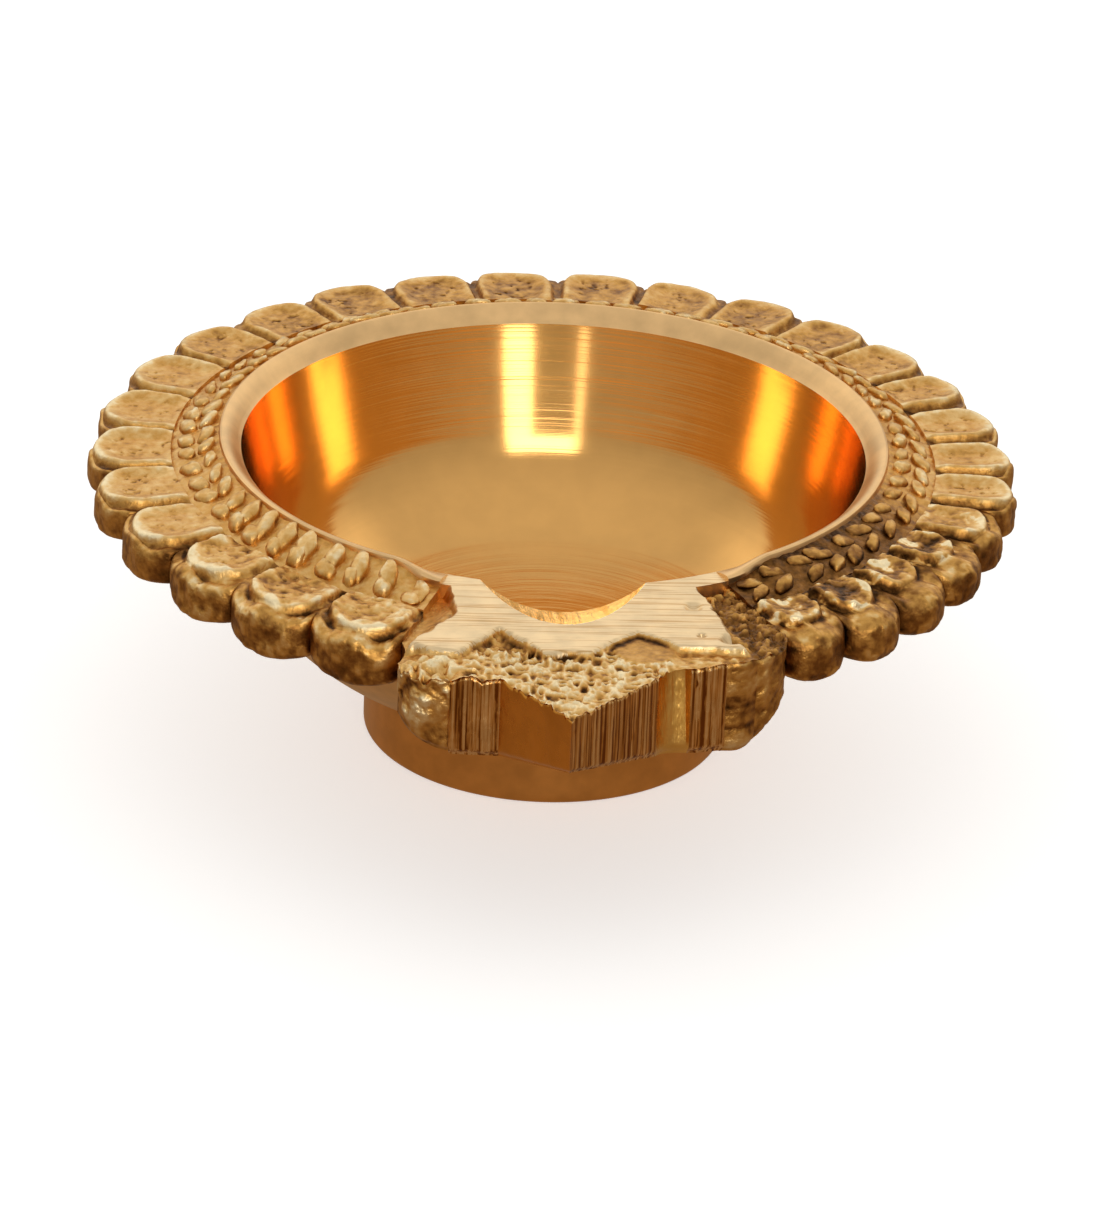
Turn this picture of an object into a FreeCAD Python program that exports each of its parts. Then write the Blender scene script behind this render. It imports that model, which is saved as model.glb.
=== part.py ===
"""Small brass diya: a turned oil bowl on a plain foot, with a cast petal rim and a filed wick spout.

Millimetres. +Z is up, the ground is z = 0, the bowl's axis is the Z axis and the spout points along -Y.
The casting is divided into its zones, which meet face to face and never overlap.
"""

import FreeCAD, Part
import math
import os
import re

import Sketcher

DRIVING_SIZES = {
    # bowl
    "mouth_height": 24.4,
    "mouth_radius": 25.0,
    "wall_turn": 80.0,
    "wall_top_slope": 77.0,
    "wall_foot_slope": 70.5,
    "knee_turn": 11.0,
    "knee_foot_slope": 18.5,
    "root_height": 19.6,
    "bowl_back_turn": 18.0,
    # foot
    "foot_radius": 14.6,
    "foot_height": 6.0,
    "foot_edge": 0.6,
    # turned lip
    "lip_width": 1.8,
    "lip_rise": 1.3,
    # bead band
    "band_drop": 0.5,
    "band_width": 3.8,
    "band_rise": 1.5,
    "flange_edge_drop": 4.4,
    "bead_length": 2.2,
    "inner_row_offset": 1.05,
    "inner_bead_width": 1.25,
    "inner_bead_rise": 0.68,
    "outer_row_offset": 2.6,
    "outer_bead_width": 1.25,
    "outer_bead_rise": 0.6,
    # petals
    "petal_start": -61.5,
    "petal_width": 9.05,
    "petal_widening": 0.3,
    "petal_easing": -0.0133,
    "petal_share": 0.86,
    "petal_rise": 0.7,
    "petal_start_radius": 30.9,
    "petal_cheek_radius": 35.0,
    "petal_end_radius": 36.8,
    "petal_edge": 0.25,
    "petal_dish": 0.4,
    "channel_drop": 0.85,
    "column_shoulder": 35.5,
    "column_reach": 37.5,
    "column_back_depth": 2.7,
    "column_front_depth": 4.6,
    "column_edge": 0.25,
    # spout
    "nose_reach": 46.6,
    "nose_drop": 0.65,
    "nose_depth": 5.5,
    "keel_slope": 16.0,
    "keel_root_radius": 22.8,
    "keel_root_depth": 12.4,
    "nose_right_x": 6.9,
    "nose_right_reach": 39.6,
    "flute_x": 9.4,
    "flute_reach": 38.0,
    "flute_turn": 2.0,
    "face_right_x": 12.2,
    "face_right_reach": 36.8,
    "cheek_turn": 4.6,
    "nose_left_x": 5.2,
    "nose_left_reach": 40.4,
    "face_left_x": 9.0,
    "face_left_reach": 40.0,
    "shoulder_x": 13.0,
    "shoulder_reach": 36.9,
    "shoulder_turn": 3.0,
    "recess_turn": 3.0,
    # filed deck behind the nose
    "deck_start": 249.0,
    "deck_end": 292.0,
    "deck_notch_x": 8.3,
    "deck_notch_reach": 29.8,
    "deck_corner_x": 12.2,
    "deck_corner_reach": 35.4,
    "deck_wing_x": 8.4,
    "deck_wing_reach": 36.6,
    "deck_lobe_x": 5.1,
    "deck_lobe_reach": 32.6,
    "deck_bay_x": 1.7,
    "deck_bay_reach": 36.5,
    "deck_tip_x": 13.4,
    "deck_tip_reach": 35.2,
    # wick groove
    "groove_turn": 9.5,
    "groove_tilt": 19.0,
    "groove_run": 6.8,
    "groove_length": 24.0,
}
PETALS = 27
BEADS = 60
CUT_MARGIN = 1  # how far a cut runs past what it removes
EDGE_MARGIN = 0.2  # keeps an edge that only touches the radius out of a fillet


def petal_edge(index):
    """Formula for the turn from the first petal's near edge to the near edge of petal index + 1."""
    pairs = index * (index - 1) // 2
    triples = pairs * (index - 2) // 3
    return f"(petal_width * {index} + petal_widening * {pairs} + petal_easing * {triples})"


PETAL_SPAN = petal_edge(PETALS)
BEAD_STEP = f"({PETAL_SPAN} / {BEADS})"
RING_INNER = "(mouth_radius + lip_width)"
RING_OUTER = "(mouth_radius + lip_width + band_width)"
BAND_HEIGHT = "(mouth_height - band_drop)"
BOWL_BACK = [
    ("0", "foot_height"),
    ("foot_radius", "foot_height"),
    (RING_INNER, "root_height", "bowl_back_turn", 1),
    (RING_INNER, "mouth_height"),
]

doc = FreeCAD.newDocument("diya")
sheet = doc.addObject("Spreadsheet::Sheet", "Sizes")
for row, (alias, size) in enumerate(DRIVING_SIZES.items(), start=1):
    sheet.set(f"A{row}", str(size))
    sheet.setAlias(f"A{row}", alias)
doc.recompute()

ALIAS = re.compile(r"\b(" + "|".join(DRIVING_SIZES) + r")\b")


def bound(formula):
    """The formula with each size named as a cell of the sheet."""
    return ALIAS.sub(r"Sizes.\1", formula)


def value(formula):
    """The formula's present value."""
    answer = sheet.evalExpression(bound(formula))
    return float(getattr(answer, "Value", answer))


def bind(thing, **formulas):
    """Ties properties of a document object to the sheet."""
    for name, formula in formulas.items():
        thing.setExpression(name, bound(formula))


def degrees(formula):
    """A formula for a plain number of degrees, as an angle."""
    return f"({formula}) * 1 deg"


def new_body(label, turn=None):
    """An empty body, turned about the vertical axis by the formula given in degrees."""
    body = doc.addObject("PartDesign::Body", label)
    body.Label = label
    if turn is not None:
        body.Placement = FreeCAD.Placement(FreeCAD.Vector(), FreeCAD.Rotation(FreeCAD.Vector(0, 0, 1), 1))
        body.setExpression(".Placement.Rotation.Angle", bound(turn))
    return body


def origin_feature(body, role):
    """One of the body's own origin planes or axes."""
    return next(item for item in body.Origin.OriginFeatures if item.Role == role)


def arc_between(start, end, radius):
    """Minor arc from start to end, counter-clockwise for a positive radius."""
    chord = end - start
    half = chord.Length / 2
    rise = abs(radius) - math.sqrt(radius * radius - half * half)
    outward = FreeCAD.Vector(chord.y, -chord.x, 0).normalize()
    middle = (start + end) / 2 + outward * math.copysign(rise, radius)
    return Part.Arc(start, middle, end) if radius > 0 else Part.Arc(end, middle, start)


def pin(sketch, curve, point, axis, formula):
    """Holds one coordinate of a sketch point at the formula's value."""
    if formula == "0":
        sketch.addConstraint(Sketcher.Constraint("PointOnObject", curve, point, -2 if axis == "X" else -1))
        return
    index = sketch.addConstraint(
        Sketcher.Constraint(f"Distance{axis}", -1, 1, curve, point, value(formula))
    )
    sketch.setExpression(f"Constraints[{index}]", bound(formula))


def draw(body, name, plane, corners, height=None):
    """A closed sketch on an origin plane.

    Each corner is (x, y) for a straight run to it, or (x, y, radius, side) for an arc to it, where
    side is +1 for a counter-clockwise arc and -1 for a clockwise one.
    """
    sketch = body.newObject("Sketcher::SketchObject", name)
    sketch.AttachmentSupport = [(origin_feature(body, plane), "")]
    sketch.MapMode = "FlatFace"
    if height is not None:
        sketch.setExpression(".AttachmentOffset.Base.z", bound(height))
    places = [FreeCAD.Vector(value(corner[0]), value(corner[1]), 0) for corner in corners]
    ends = []
    for index, corner in enumerate(corners):
        start, end = places[index - 1], places[index]
        if len(corner) == 2:
            sketch.addGeometry(Part.LineSegment(start, end))
            ends.append((1, 2))
        else:
            sketch.addGeometry(arc_between(start, end, corner[3] * value(corner[2])))
            ends.append((1, 2) if corner[3] > 0 else (2, 1))
    for index, corner in enumerate(corners):
        following = (index + 1) % len(corners)
        sketch.addConstraint(
            Sketcher.Constraint("Coincident", index, ends[index][1], following, ends[following][0])
        )
        pin(sketch, index, ends[index][1], "X", corner[0])
        pin(sketch, index, ends[index][1], "Y", corner[1])
        if len(corner) > 2:
            radius = sketch.addConstraint(Sketcher.Constraint("Radius", index, value(corner[2])))
            sketch.setExpression(f"Constraints[{radius}]", bound(corner[2]))
    return sketch


def revolve(body, name, sketch, angle="360", kind="PartDesign::Revolution"):
    """Turns a sketch about the vertical axis, to add a solid or with the Groove kind to cut one."""
    feature = body.newObject(kind, name)
    feature.Profile = sketch
    feature.ReferenceAxis = (sketch, ["V_Axis"])
    bind(feature, Angle=angle)
    sketch.Visibility = False
    return feature


def pad(body, name, sketch, length):
    """Extrudes a sketch upward."""
    feature = body.newObject("PartDesign::Pad", name)
    feature.Profile = sketch
    bind(feature, Length=length)
    return feature


def cut_through(body, name, sketch):
    """Removes all that a sketch covers, to both sides of it."""
    pocket = body.newObject("PartDesign::Pocket", name)
    pocket.Profile = sketch
    pocket.Type = "ThroughAll"
    pocket.Midplane = True
    return pocket


def cut_wick_groove(body, name):
    """The scoop filed down through the spout and the bowl's edge: a tilted round bar."""
    groove = body.newObject("PartDesign::SubtractiveCylinder", name)
    bind(groove, Radius="groove_turn", Height="groove_length")
    groove.Placement = FreeCAD.Placement(FreeCAD.Vector(), FreeCAD.Rotation(FreeCAD.Vector(-1, 0, 0), 90))
    groove.setExpression(".Placement.Rotation.Angle", bound(degrees("90 + groove_tilt")))
    groove.setExpression(
        ".Placement.Base.y",
        bound(f"-mouth_radius - groove_run + groove_turn * sin({degrees('groove_tilt')})"),
    )
    groove.setExpression(
        ".Placement.Base.z", bound(f"mouth_height + groove_turn * cos({degrees('groove_tilt')})")
    )
    return groove


def make_bowl():
    """Turned shell: an arc for the wall, a tighter one for the knee and a wide one for the floor."""
    slope_top, slope_wall, slope_knee = (
        degrees(name) for name in ("wall_top_slope", "wall_foot_slope", "knee_foot_slope")
    )
    wall_foot_x = f"(mouth_radius - wall_turn * (sin({slope_top}) - sin({slope_wall})))"
    wall_foot_y = f"(mouth_height - wall_turn * (cos({slope_wall}) - cos({slope_top})))"
    knee_foot_x = f"({wall_foot_x} - knee_turn * (sin({slope_wall}) - sin({slope_knee})))"
    knee_foot_y = f"({wall_foot_y} - knee_turn * (cos({slope_knee}) - cos({slope_wall})))"
    floor_turn = f"({knee_foot_x} / sin({slope_knee}))"
    body = new_body("bowl")
    outline = draw(
        body,
        "BowlSection",
        "XZ_Plane",
        BOWL_BACK
        + [
            ("mouth_radius", "mouth_height"),
            (wall_foot_x, wall_foot_y, "wall_turn", -1),
            (knee_foot_x, knee_foot_y, "knee_turn", -1),
            ("0", f"{knee_foot_y} - {floor_turn} * (1 - cos({slope_knee}))", floor_turn, -1),
        ],
    )
    revolve(body, "BowlShell", outline)
    cut_wick_groove(body, "BowlWickGroove")
    return body


def make_foot():
    """Plain turned disc with an eased lower edge and a flat underside."""
    body = new_body("foot")
    outline = draw(
        body,
        "FootSection",
        "XZ_Plane",
        [
            ("0", "0"),
            ("foot_radius - foot_edge", "0"),
            ("foot_radius", "foot_edge", "foot_edge", 1),
            ("foot_radius", "foot_height"),
            ("0", "foot_height"),
        ],
    )
    revolve(body, "FootDisc", outline)
    return body


def make_mouth_lip():
    """Turned bevel that rises from the mouth's edge to a ridge, open at the spout."""
    body = new_body("mouth_lip", "petal_start")
    outline = draw(
        body,
        "LipSection",
        "XZ_Plane",
        [
            ("mouth_radius", "mouth_height"),
            (RING_INNER, "mouth_height"),
            (RING_INNER, "mouth_height + lip_rise"),
        ],
    )
    revolve(body, "LipRing", outline, PETAL_SPAN)
    return body


def make_rim_flange():
    """Web between the bowl and the petals; its top, the bead band, falls away from the lip."""
    body = new_body("rim_flange", "petal_start")
    outline = draw(
        body,
        "FlangeSection",
        "XZ_Plane",
        [
            (RING_INNER, "root_height"),
            (RING_OUTER, "mouth_height - flange_edge_drop"),
            (RING_OUTER, BAND_HEIGHT),
            (RING_INNER, f"{BAND_HEIGHT} + band_rise"),
        ],
    )
    revolve(body, "FlangeRing", outline, PETAL_SPAN)
    return body


def make_bead_row(label, offset, width, rise):
    """Row of half-ellipsoid beads, longer along the rim than across it, square to the bead band."""
    body = new_body(label, f"petal_start + {BEAD_STEP} / 2")
    body.AllowCompound = True
    bead = body.newObject("PartDesign::AdditiveEllipsoid", "Bead_" + label)
    bead.Angle1 = 0
    bind(bead, Radius1=rise, Radius2=f"{width} / 2", Radius3="bead_length / 2")
    bead.Placement = FreeCAD.Placement(FreeCAD.Vector(), FreeCAD.Rotation(FreeCAD.Vector(0, 1, 0), 1))
    bead.setExpression(".Placement.Rotation.Angle", bound("atan(band_rise / band_width)"))
    bead.setExpression(".Placement.Base.x", bound(f"{RING_INNER} + {offset}"))
    bead.setExpression(
        ".Placement.Base.z", bound(f"{BAND_HEIGHT} + band_rise * (1 - {offset} / band_width)")
    )
    doc.recompute()
    row = body.newObject("PartDesign::PolarPattern", "Row_" + label)
    row.Originals = [bead]
    row.Axis = (origin_feature(body, "Z_Axis"), [""])
    row.Occurrences = BEADS
    bind(row, Angle=f"{BEAD_STEP} * {BEADS - 1}")
    body.Tip = row
    return body


def edges_at(shape, height, beyond):
    """Names of the edges that lie flat at a height with their middle beyond a radius."""
    names = []
    for place, edge in enumerate(shape.Edges, start=1):
        middle = edge.valueAt((edge.FirstParameter + edge.LastParameter) / 2)
        level = all(abs(vertex.Z - height) < 1e-6 for vertex in edge.Vertexes)
        if level and math.hypot(middle.x, middle.y) > beyond:
            names.append(f"Edge{place}")
    return names


def round_edges(body, name, base, height, beyond, radius):
    """Fillets the flat edges at a height whose middle is beyond a radius."""
    doc.recompute()
    rounding = body.newObject("PartDesign::Fillet", name)
    rounding.Base = (base, edges_at(base.Shape, value(height), value(beyond) + EDGE_MARGIN))
    bind(rounding, Radius=radius)
    return rounding


def make_petal(number):
    """One petal: a bulging column that carries a raised tongue, dished on top and round at its end.

    Columns meet their neighbours along the channels between the tongues. The petals widen a little
    from one side of the spout round to the other, and their columns are deepest beside it.
    """
    near = f"(petal_start + {petal_edge(number - 1)})"
    wide = f"({petal_edge(number)} - {petal_edge(number - 1)})"
    centre = f"({near} + {wide} / 2)"
    side = degrees(f"{wide} / 2")
    cheek = degrees(f"petal_share * {wide} / 2")
    nearness = f"((1 - sin({degrees(centre)})) / 2) ^ 3"
    depth = f"(column_back_depth + (column_front_depth - column_back_depth) * {nearness})"
    half_chord = f"(column_shoulder * sin({side}))"
    bulge = f"(column_reach - column_shoulder * cos({side}))"
    half_end = f"(petal_cheek_radius * sin({cheek}))"
    end_bulge = f"(petal_end_radius - petal_cheek_radius * cos({cheek}))"
    channel_height = "mouth_height - channel_drop"
    body = new_body(f"petal_{number:02d}", centre)
    outline = draw(
        body,
        f"ColumnOutline{number:02d}",
        "XY_Plane",
        [
            (f"{RING_OUTER} * cos({side})", f"{RING_OUTER} * sin({side})"),
            (f"{RING_OUTER} * cos({side})", f"-{RING_OUTER} * sin({side})", RING_OUTER, -1),
            (f"column_shoulder * cos({side})", f"-{half_chord}"),
            (
                f"column_shoulder * cos({side})",
                half_chord,
                f"({half_chord} ^ 2 + {bulge} ^ 2) / (2 * {bulge})",
                1,
            ),
        ],
        height=f"{channel_height} - {depth}",
    )
    column = pad(body, f"Column{number:02d}", outline, depth)
    round_edges(body, f"ColumnEdge{number:02d}", column, channel_height, "column_shoulder", "column_edge")
    tongue_outline = draw(
        body,
        f"TongueOutline{number:02d}",
        "XY_Plane",
        [
            (f"petal_start_radius * cos({cheek})", f"petal_start_radius * sin({cheek})"),
            (f"petal_start_radius * cos({cheek})", f"-petal_start_radius * sin({cheek})"),
            (f"petal_cheek_radius * cos({cheek})", f"-{half_end}"),
            ("petal_end_radius", "0", f"({half_end} ^ 2 + {end_bulge} ^ 2) / (2 * {end_bulge})", 1),
            (
                f"petal_cheek_radius * cos({cheek})",
                half_end,
                f"({half_end} ^ 2 + {end_bulge} ^ 2) / (2 * {end_bulge})",
                1,
            ),
        ],
        height=channel_height,
    )
    tongue = pad(body, f"Tongue{number:02d}", tongue_outline, "petal_rise")
    tongue_height = f"{channel_height} + petal_rise"
    round_edges(body, f"TongueEdge{number:02d}", tongue, tongue_height, "petal_start_radius", "petal_edge")
    dish = body.newObject("PartDesign::SubtractiveEllipsoid", f"Dish{number:02d}")
    bind(
        dish,
        Radius1="2 * petal_dish",
        Radius2="(petal_end_radius - petal_start_radius) / 2",
        Radius3=f"0.75 * petal_start_radius * sin({cheek})",
    )
    dish.setExpression(".Placement.Base.x", bound("(petal_start_radius + petal_end_radius) / 2"))
    dish.setExpression(".Placement.Base.z", bound(f"{tongue_height} + petal_dish"))
    return body


def make_wick_spout():
    """Spout: a V nose with a filed deck behind it, fluted cheeks and a recess beside the last petal.

    Its underside rises outward from the bowl's back to the nose.
    """
    start = degrees("petal_start")
    end = degrees(f"petal_start + {PETAL_SPAN}")
    deck_start, deck_end = degrees("deck_start"), degrees("deck_end")
    keel_slope = degrees("keel_slope")
    body = new_body("wick_spout")
    block = draw(
        body,
        "SpoutOutline",
        "XY_Plane",
        [
            (
                f"keel_root_radius * cos({end})",
                f"keel_root_radius * sin({end})",
                "keel_root_radius",
                -1,
            ),
            (f"column_shoulder * cos({end})", f"column_shoulder * sin({end})"),
            ("-shoulder_x", "-shoulder_reach", "recess_turn", -1),
            ("-face_left_x", "-face_left_reach", "shoulder_turn", 1),
            ("-nose_left_x", "-nose_left_reach"),
            ("0", "-nose_reach"),
            ("nose_right_x", "-nose_right_reach"),
            ("flute_x", "-flute_reach", "flute_turn", -1),
            ("face_right_x", "-face_right_reach"),
            (f"column_shoulder * cos({start})", f"column_shoulder * sin({start})", "cheek_turn", 1),
            (f"keel_root_radius * cos({start})", f"keel_root_radius * sin({start})"),
        ],
        height="mouth_height - keel_root_depth",
    )
    pad(body, "SpoutBlock", block, "keel_root_depth - nose_drop")
    keel = draw(
        body,
        "KeelSection",
        "YZ_Plane",
        [
            ("-keel_root_radius", "0"),
            (
                "-keel_root_radius",
                f"mouth_height - nose_depth - (nose_reach - keel_root_radius) * tan({keel_slope})",
            ),
            ("-nose_reach", "mouth_height - nose_depth"),
            (f"-nose_reach - {CUT_MARGIN}", "mouth_height - nose_depth"),
            (f"-nose_reach - {CUT_MARGIN}", "0"),
        ],
    )
    cut_through(body, "KeelCut", keel)
    back = draw(body, "BowlBackSection", "XZ_Plane", BOWL_BACK + [("0", "mouth_height")])
    revolve(body, "BowlSeat", back, kind="PartDesign::Groove")
    deck = draw(
        body,
        "DeckOutline",
        "XY_Plane",
        [
            (f"{RING_INNER} * cos({deck_start})", f"{RING_INNER} * sin({deck_start})", RING_INNER, -1),
            ("-deck_notch_x", "-deck_notch_reach"),
            ("-deck_corner_x", "-deck_corner_reach"),
            ("-deck_wing_x", "-deck_wing_reach"),
            ("-deck_lobe_x", "-deck_lobe_reach"),
            ("-deck_bay_x", "-deck_bay_reach"),
            ("deck_bay_x", "-deck_bay_reach"),
            ("deck_lobe_x", "-deck_lobe_reach"),
            ("deck_wing_x", "-deck_wing_reach"),
            ("deck_tip_x", "-deck_tip_reach"),
            (f"{RING_INNER} * cos({deck_end})", f"{RING_INNER} * sin({deck_end})"),
        ],
        height="mouth_height - nose_drop",
    )
    pad(body, "FiledDeck", deck, "nose_drop")
    cut_wick_groove(body, "SpoutWickGroove")
    return body


def check(bodies):
    """Stops if any object failed or any sub-part is not one sound shape."""
    for item in doc.Objects:
        if "Invalid" in item.State or "Error" in item.State:
            raise RuntimeError(f"{item.Name} failed: {item.State}")
    for body in bodies:
        if body.Shape.isNull() or not body.Shape.isValid() or body.Shape.Volume <= 0:
            raise RuntimeError(f"{body.Label} has no sound shape")


parts = [
    make_bowl(),
    make_foot(),
    make_mouth_lip(),
    make_rim_flange(),
    make_bead_row("inner_bead_row", "inner_row_offset", "inner_bead_width", "inner_bead_rise"),
    make_bead_row("outer_bead_row", "outer_row_offset", "outer_bead_width", "outer_bead_rise"),
    make_wick_spout(),
]
parts += [make_petal(number) for number in range(1, PETALS + 1)]
doc.recompute()
check(parts)

os.makedirs("parts", exist_ok=True)
for part in parts:
    part.Shape.exportStep(f"parts/{part.Label}.step")
    print(f"{part.Label}: {len(part.Shape.Solids)} solid(s), {part.Shape.Volume:.1f} mm3")
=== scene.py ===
"""Looks for the small brass diya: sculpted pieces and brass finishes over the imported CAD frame.

Shapes are worked out in millimetres in the CAD frame (+Z up, spout along -Y) and turned into
metres when a mesh is made. Azimuths are in degrees, counter-clockwise from +X.
"""

import math
from itertools import product

import bmesh
import bpy
import numpy as np
from mathutils import Matrix, Vector


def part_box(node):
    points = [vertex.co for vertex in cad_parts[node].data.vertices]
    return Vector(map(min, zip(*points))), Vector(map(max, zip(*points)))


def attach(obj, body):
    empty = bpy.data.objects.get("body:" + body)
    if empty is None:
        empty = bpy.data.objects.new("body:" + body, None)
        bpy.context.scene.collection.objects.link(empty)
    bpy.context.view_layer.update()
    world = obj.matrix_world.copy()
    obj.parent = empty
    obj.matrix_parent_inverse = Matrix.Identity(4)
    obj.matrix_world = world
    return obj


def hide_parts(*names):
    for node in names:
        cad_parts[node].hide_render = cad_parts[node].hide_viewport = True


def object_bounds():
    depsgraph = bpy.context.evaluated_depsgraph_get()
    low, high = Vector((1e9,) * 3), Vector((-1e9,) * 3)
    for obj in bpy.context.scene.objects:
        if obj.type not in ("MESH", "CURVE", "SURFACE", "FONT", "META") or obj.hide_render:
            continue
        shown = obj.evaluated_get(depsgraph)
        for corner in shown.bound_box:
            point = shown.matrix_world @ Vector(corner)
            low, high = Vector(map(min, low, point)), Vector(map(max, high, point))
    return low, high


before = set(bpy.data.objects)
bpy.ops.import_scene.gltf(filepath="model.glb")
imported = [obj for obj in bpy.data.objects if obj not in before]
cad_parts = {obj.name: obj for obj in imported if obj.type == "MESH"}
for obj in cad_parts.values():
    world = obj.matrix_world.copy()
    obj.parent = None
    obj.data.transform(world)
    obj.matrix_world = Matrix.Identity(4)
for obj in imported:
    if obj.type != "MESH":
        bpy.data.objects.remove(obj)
cad_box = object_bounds()

MM = 0.001
BODY = "root"
SEED = 7
PETALS = 27
BEADS = 60


def corner_mm(node, end):
    """Lowest (end 0) or highest (end 1) corner of a CAD node, in millimetres."""
    return np.array(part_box(node)[end]) / MM


# ------------------------------------------------------------------ sizes read from the frame
foot_radius, _, foot_height = corner_mm("foot", 1)
ring_inner, _, mouth_height = corner_mm("bowl", 1)
ridge_height = corner_mm("mouth_lip", 1)[2]
ring_outer, _, band_top = corner_mm("rim_flange", 1)
root_height = corner_mm("rim_flange", 0)[2]
column_reach = max(corner_mm(f"petal_{number:02d}", 1)[0] for number in range(1, PETALS + 1))
nose_reach = -corner_mm("wick_spout", 0)[1]

# ------------------------------------------------------------------ sizes of the bowl
LIP_WIDTH, BAND_RISE = 1.8, 1.5
mouth_radius = ring_inner - LIP_WIDTH
band_height = band_top - BAND_RISE
WALL_TURN, KNEE_TURN, BACK_TURN = 80.0, 11.0, 18.0
WALL_TOP, WALL_FOOT, KNEE_FOOT = 77.0, 70.5, 18.5

# ------------------------------------------------------------------ petal ring
PETAL_START, PETAL_WIDTH, PETAL_WIDENING, PETAL_EASING = -61.5, 9.05, 0.3, -0.0133


def petal_edge(index):
    """Azimuth of the border before a petal; the petals widen and then ease."""
    pairs = index * (index - 1)
    triples = pairs * (index - 2)
    return PETAL_START + PETAL_WIDTH * index + PETAL_WIDENING * pairs / 2 + PETAL_EASING * triples / 6


petal_edges = [petal_edge(index) for index in range(PETALS + 1)]
PETAL_END = petal_edges[-1]

# ------------------------------------------------------------------ wick groove and spout underside
GROOVE_TURN, GROOVE_TILT, GROOVE_RUN = 9.5, math.radians(19.0), 6.8
NOSE_DEPTH, KEEL_SLOPE = 5.5, math.radians(16.0)


# ================================================================== number helpers
def smooth(low, high, value):
    """0 below low, 1 above high and an S curve between them."""
    part = np.clip((value - low) / (high - low), 0, 1)
    return part * part * (3 - 2 * part)


def noise(points, size, seed=0):
    """Smooth random values from -1 to 1 with lumps of about the given size."""
    scaled = points / size
    cell = np.floor(scaled).astype(np.int64)
    part = scaled - cell
    weight = part * part * (3 - 2 * part)
    total = np.zeros(points.shape[:-1])
    for corner in product((0, 1), repeat=3):
        key = cell + np.array(corner)
        mixed = key[..., 0] * 73856093 ^ key[..., 1] * 19349663 ^ key[..., 2] * 83492791
        mixed = (mixed ^ (seed + SEED) * 374761393) & 0x7FFFFFFF
        mixed = (mixed ^ mixed >> 13) * 1274126177 & 0x7FFFFFFF
        mixed = mixed ^ mixed >> 16
        share = np.prod(np.where(corner, weight, 1 - weight), axis=-1)
        total += share * ((mixed & 0xFFFF) / 32767.5 - 1)
    return total


def rough(points, size, seed=0, octaves=3):
    """Several sizes of noise added together."""
    layers = [noise(points, size / 2**k, seed + k) / 2**k for k in range(octaves)]
    return sum(layers)


def polar(azimuth, radius, height):
    """Points from azimuths in degrees, radii and heights."""
    turn = np.radians(azimuth)
    return np.stack(np.broadcast_arrays(radius * np.cos(turn), radius * np.sin(turn), height), axis=-1)


def groove_height(x, y):
    """Height of the tilted round scoop filed for the wick, and infinity beside it."""
    start = -(mouth_radius + GROOVE_RUN) + GROOVE_TURN * math.sin(GROOVE_TILT)
    axis_height = mouth_height + GROOVE_TURN * math.cos(GROOVE_TILT) - (y - start) * math.tan(GROOVE_TILT)
    inside = (np.abs(x) < GROOVE_TURN) & (y < -mouth_radius / 2)
    drop = np.sqrt(np.maximum(GROOVE_TURN**2 - x**2, 0)) / math.cos(GROOVE_TILT)
    return np.where(inside, axis_height - drop, np.inf)


def keel_height(reach):
    """Height of the spout's sloping underside at a distance toward the nose."""
    return mouth_height - NOSE_DEPTH - (nose_reach - reach) * math.tan(KEEL_SLOPE)


def bump_at(value, middle, width):
    """1 at the middle, fading to 0 at about twice the width from it."""
    return np.exp(-(((value - middle) / width) ** 2))


# ================================================================== mesh helpers
def make_piece(name, node, shape, materials, face_material=None, tone=None, sharp=35.0):
    """A closed mesh in the frame that stands for a CAD node; tone is a shade for each point."""
    points, faces = shape
    mesh = bpy.data.meshes.new(name)
    mesh.from_pydata((np.asarray(points) * MM).tolist(), [], faces)
    if tone is not None:
        shade = mesh.attributes.new("tone", "FLOAT", "POINT")
        shade.data.foreach_set("value", np.clip(tone, 0, 1).ravel())
    edit = bmesh.new()
    edit.from_mesh(mesh)
    bmesh.ops.recalc_face_normals(edit, faces=edit.faces)
    edit.to_mesh(mesh)
    edit.free()
    for material in materials:
        mesh.materials.append(material)
    if face_material is not None:
        mesh.polygons.foreach_set("material_index", face_material)
    mesh.polygons.foreach_set("use_smooth", [True] * len(mesh.polygons))
    mesh.set_sharp_from_angle(angle=math.radians(sharp))
    piece = bpy.data.objects.new(name, mesh)
    bpy.context.scene.collection.objects.link(piece)
    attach(piece, BODY)
    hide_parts(node)
    return piece


def strip_faces(rows, columns, loop_rows=False, loop_columns=False, first=0):
    """Quads over a grid of points numbered row by row."""
    row = np.arange(rows if loop_rows else rows - 1)
    column = np.arange(columns if loop_columns else columns - 1)
    row, column = (grid.ravel() for grid in np.meshgrid(row, column, indexing="ij"))
    next_row, next_column = (row + 1) % rows, (column + 1) % columns
    quads = np.stack(
        [
            row * columns + column,
            row * columns + next_column,
            next_row * columns + next_column,
            next_row * columns + column,
        ],
        axis=1,
    )
    return (quads + first).tolist()


def swept(azimuths, sections):
    """Points and faces of closed (radius, height) loops swept over part of a turn, with end faces."""
    azimuths = np.asarray(azimuths)
    points = polar(azimuths[:, None], sections[..., 0], sections[..., 1])
    rows, columns = points.shape[:2]
    faces = strip_faces(rows, columns, loop_columns=True)
    faces.append(list(range(columns)))
    faces.append(list(range((rows - 1) * columns, rows * columns)))
    return points.reshape(-1, 3), faces


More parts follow.
